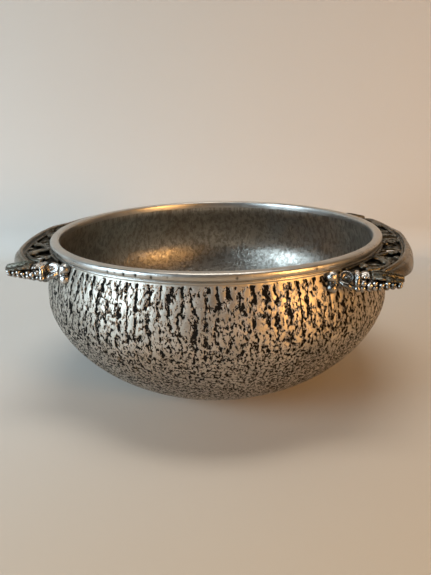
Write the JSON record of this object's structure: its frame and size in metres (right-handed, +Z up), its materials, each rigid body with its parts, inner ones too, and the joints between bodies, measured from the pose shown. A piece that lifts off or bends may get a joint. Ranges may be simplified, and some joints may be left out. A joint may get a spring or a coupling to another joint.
{
  "type": "shaving bowl",
  "caption": "Full-bellied hammered pewter shaving bowl with a rolled rim, a flat foot and two openwork grapevine handles under the rim.",
  "frame": {"origin": "middle of the flat foot, on the surface that the bowl stands on", "axes": "+Z up through the mouth, +X through the middle of the right-hand handle, -Y towards the front"},
  "size_m": [0.14, 0.1252, 0.056],
  "materials": {
    "hammered_pewter": "satin hammered pewter with dark patina in the pits",
    "rim_pewter": "smooth brushed pewter, lightly nicked",
    "rail_pewter": "smooth aged pewter",
    "dark_cast_pewter": "cast pewter, blackened in the hollows and rubbed bright on the ridges",
    "bright_cast_pewter": "cast pewter, rubbed bright"
  },
  "bodies": {
    "root": {"bowl_shell": "hammered_pewter", "rim_roll": "rim_pewter", "right_rail": "rail_pewter", "left_rail": "rail_pewter", "right_front_panel": "dark_cast_pewter", "right_rear_panel": "dark_cast_pewter", "left_front_panel": "dark_cast_pewter", "left_rear_panel": "dark_cast_pewter", "right_front_knob": "bright_cast_pewter", "right_rear_knob": "bright_cast_pewter", "left_front_knob": "bright_cast_pewter", "left_rear_knob": "bright_cast_pewter", "right_front_cup": "bright_cast_pewter", "right_rear_cup": "bright_cast_pewter", "left_front_cup": "bright_cast_pewter", "left_rear_cup": "bright_cast_pewter", "right_front_collar": "bright_cast_pewter", "right_rear_collar": "bright_cast_pewter", "left_front_collar": "bright_cast_pewter", "left_rear_collar": "bright_cast_pewter", "right_front_boss": "bright_cast_pewter", "right_rear_boss": "bright_cast_pewter", "left_front_boss": "bright_cast_pewter", "left_rear_boss": "bright_cast_pewter", "right_front_bunch": "bright_cast_pewter", "right_rear_bunch": "bright_cast_pewter", "left_front_bunch": "bright_cast_pewter", "left_rear_bunch": "bright_cast_pewter", "right_front_leaf": "dark_cast_pewter", "right_rear_leaf": "dark_cast_pewter", "left_front_leaf": "dark_cast_pewter", "left_rear_leaf": "dark_cast_pewter"}
  },
  "joints": []
}
